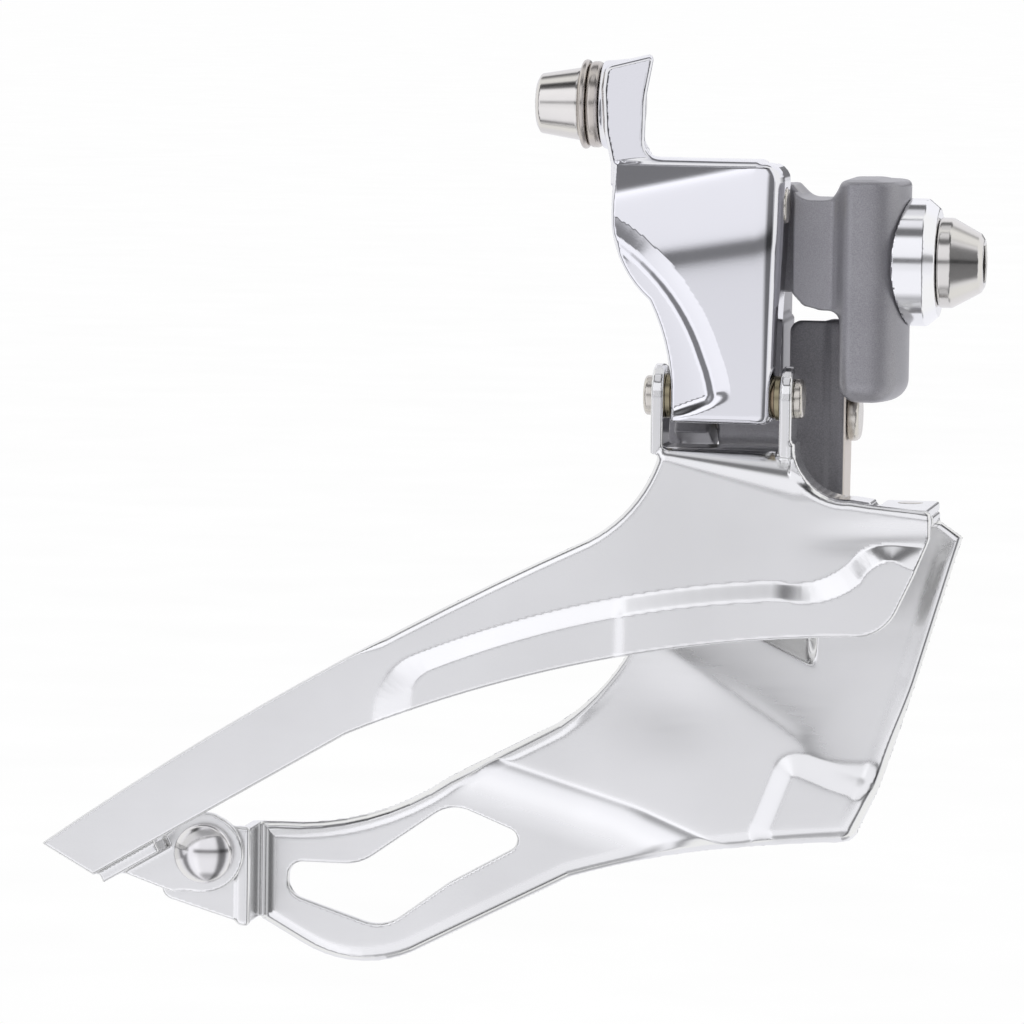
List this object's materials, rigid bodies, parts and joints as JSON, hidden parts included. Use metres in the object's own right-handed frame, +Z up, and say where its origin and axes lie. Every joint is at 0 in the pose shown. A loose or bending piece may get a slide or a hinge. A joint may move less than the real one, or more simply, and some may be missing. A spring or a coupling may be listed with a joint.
{
  "type": "front derailleur",
  "caption": "Braze-on front derailleur: a grey bracket carries two links in a parallelogram that swing a two-plate steel chain cage outboard; cable arm and return spring included.",
  "frame": {"origin": "apex of the convex braze-on saddle, on the axis of the fixing bolt", "axes": "+X forward along the bicycle and out of the saddle, +Y inboard towards the frame, +Z up"},
  "size_m": [0.1054, 0.0297, 0.1055],
  "materials": {
    "painted_aluminium": "satin metallic grey paint on cast aluminium",
    "polished_aluminium": "mirror polished",
    "painted_steel": "satin dark grey paint, bare cut edges",
    "plated_cage_steel": "plated, satin brushed flats and bright pressed bands",
    "pivot_steel": "turned, nickel plated",
    "bush_bronze": "sintered",
    "washer_brass": "plain",
    "spring_steel": "drawn wire",
    "fastener_steel": "turned, nickel plated",
    "black_resin": "moulded"
  },
  "bodies": {
    "bracket": {"base_bracket": "painted_aluminium", "upper_pivot_bushes": "bush_bronze", "inner_upper_pin": "pivot_steel", "return_spring": "spring_steel", "limit_screw_plate": "black_resin", "fixing_bolt": "fastener_steel", "concave_washer": "polished_aluminium"},
    "outer_link": {"outer_link": "polished_aluminium", "outer_upper_pin": "pivot_steel", "lower_pivot_bushes": "bush_bronze", "cable_anchor_bolt": "fastener_steel", "cable_washer": "fastener_steel", "cable_clamp_plate": "fastener_steel"},
    "inner_link": {"inner_link": "painted_steel"},
    "cage": {"outer_cage_plate": "plated_cage_steel", "inner_cage_plate": "plated_cage_steel", "outer_lower_pin": "pivot_steel", "thrust_washers": "washer_brass", "inner_lower_pin": "pivot_steel", "cage_tail_screw": "fastener_steel", "cage_tail_nut": "fastener_steel", "cage_bridge_rivet": "fastener_steel"},
    "low_limit_screw": {"low_limit_screw": "fastener_steel"},
    "high_limit_screw": {"high_limit_screw": "fastener_steel"}
  },
  "joints": [
    {"name": "outer_link_swing", "type": "hinge", "parent": "bracket", "child": "outer_link", "pos_m": [0, -0.008, 0.0064], "axis": [-1, 0, 0], "range_deg": [0, 46], "stiffness_Nm_per_rad": 0.34},
    {"name": "inner_link_swing", "type": "hinge", "parent": "bracket", "child": "inner_link", "pos_m": [0, 0.0069, -0.018], "axis": [-1, 0, 0], "range_deg": [0, 46], "deforming": ["return_spring"]},
    {"name": "cage_level", "type": "hinge", "parent": "outer_link", "child": "cage", "pos_m": [0, -0.0099, -0.0151], "axis": [-1, 0, 0], "range_deg": [-46, 0]},
    {"name": "low_limit_turn", "type": "hinge", "parent": "bracket", "child": "low_limit_screw", "pos_m": [-0.0252, 0.0115, 0], "axis": [0, 0, 1], "range_deg": [-360, 360]},
    {"name": "high_limit_turn", "type": "hinge", "parent": "bracket", "child": "high_limit_screw", "pos_m": [-0.0252, 0.0025, 0], "axis": [0, 0, 1], "range_deg": [-360, 360]}
  ],
  "couplings": [
    {"joint": "inner_link_swing", "follows": "outer_link_swing", "ratio": 1},
    {"joint": "cage_level", "follows": "outer_link_swing", "ratio": -1}
  ]
}
